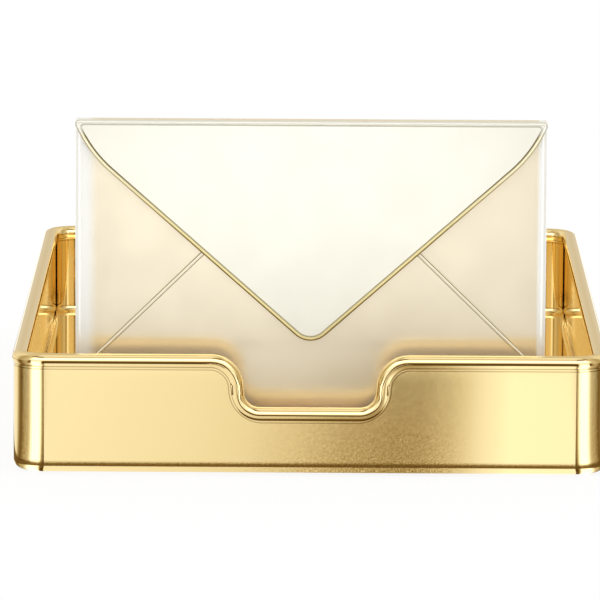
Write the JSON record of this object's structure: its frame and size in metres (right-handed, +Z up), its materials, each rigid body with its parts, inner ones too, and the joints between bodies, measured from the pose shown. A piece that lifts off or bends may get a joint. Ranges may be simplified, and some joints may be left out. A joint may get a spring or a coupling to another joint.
{
  "type": "desk letter tray with envelope",
  "caption": "Double-walled polished brass letter tray with a rolled rim and a finger notch, and a pointed-flap envelope that lifts out of a channel behind its front wall.",
  "frame": {"origin": "on the desk under the middle of the tray's footprint", "axes": "+X to the right, +Y from the notched front wall to the back wall, +Z up"},
  "size_m": [0.2604, 0.35, 0.1535],
  "materials": {
    "polished_brass": "mirror polished",
    "turned_brass": "satin turned",
    "pearl_paper": "pearl sheen",
    "letter_paper": "matte laid",
    "felt": "felted"
  },
  "bodies": {
    "tray": {"outer_shell": "polished_brass", "inner_tray": "polished_brass", "rim_bead": "polished_brass", "floor_spacer_front_left": "turned_brass", "floor_spacer_front_right": "turned_brass", "floor_spacer_middle_left": "turned_brass", "floor_spacer_middle_right": "turned_brass", "floor_spacer_back_left": "turned_brass", "floor_spacer_back_right": "turned_brass", "felt_foot_front_left": "felt", "felt_foot_front_right": "felt", "felt_foot_back_left": "felt", "felt_foot_back_right": "felt", "envelope_rest": "polished_brass", "rest_screws": "turned_brass", "rest_nuts": "turned_brass"},
    "envelope": {"envelope_back_panel": "pearl_paper", "envelope_side_flap_left": "pearl_paper", "envelope_side_flap_right": "pearl_paper", "envelope_bottom_flap": "pearl_paper", "letter_card": "letter_paper"},
    "flap": {"envelope_top_flap": "pearl_paper"}
  },
  "joints": [
    {"name": "envelope_lift", "type": "slide", "parent": "tray", "child": "envelope", "axis": [0, 0, 1], "range_m": [0, 0.06]},
    {"name": "flap_hinge", "type": "hinge", "parent": "envelope", "child": "flap", "pos_m": [0, -0.15175, 0.15365], "axis": [-1, 0, 0], "range_deg": [0, 180]}
  ]
}
